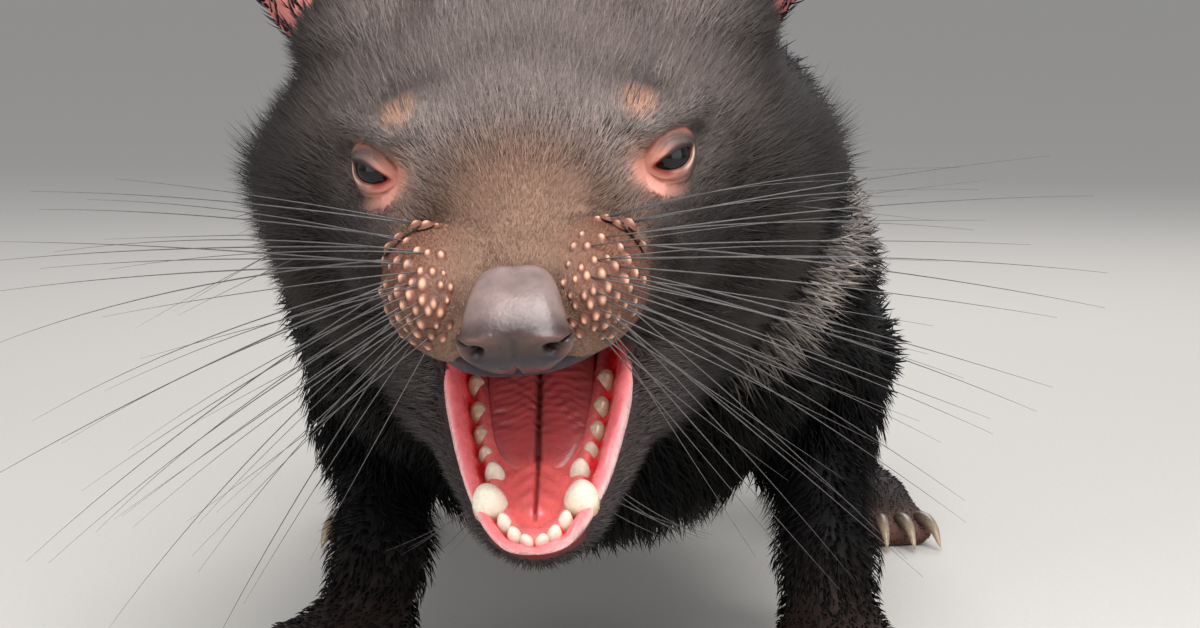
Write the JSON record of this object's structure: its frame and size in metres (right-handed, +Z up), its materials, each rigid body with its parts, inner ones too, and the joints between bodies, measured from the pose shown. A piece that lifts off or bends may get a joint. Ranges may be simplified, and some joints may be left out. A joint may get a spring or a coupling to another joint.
{
  "type": "tasmanian devil",
  "caption": "Life-size still model of a tasmanian devil, crouched on four feet with its head low and its mouth wide open",
  "frame": {"origin": "on the floor, under the middle of the animal's box, whiskers and tail included", "axes": "+Z up, the animal faces -Y, and +X is its own left side"},
  "size_m": [0.2472, 0.718, 0.2169],
  "materials": {
    "coat": "short coarse black fur with a dull sheen, greyer on the forehead and white in a band across the chest and shoulder",
    "ear_skin": "thin bare pink skin, dark and downy behind",
    "muzzle_skin": "brown short-haired skin with rows of small tan bumps that long whiskers grow from",
    "foot_skin": "dark short-haired toes with bare pinkish pads",
    "nose_skin": "moist dark grey leathery skin with fine grain and a soft gloss",
    "mouth": "wet pink lips and gums and a red tongue",
    "eye": "wet glossy near-black eyeball",
    "tooth": "ivory enamel, yellower at the root",
    "claw": "brown horn, paler at the tip"
  },
  "bodies": {
    "root": {"head": "coat", "jaw": "coat", "tongue": "mouth", "nose": "nose_skin", "whisker_pad_left": "muzzle_skin", "whisker_pad_right": "muzzle_skin", "eye_left": "eye", "eye_right": "eye", "ear_left": "ear_skin", "ear_right": "ear_skin", "neck": "coat", "torso": "coat", "foreleg_left": "coat", "foreleg_right": "coat", "hindleg_left": "coat", "hindleg_right": "coat", "forepaw_left": "foot_skin", "forepaw_right": "foot_skin", "hindpaw_left": "foot_skin", "hindpaw_right": "foot_skin", "tail_root": "coat", "tail_tip": "coat"}
  },
  "joints": []
}
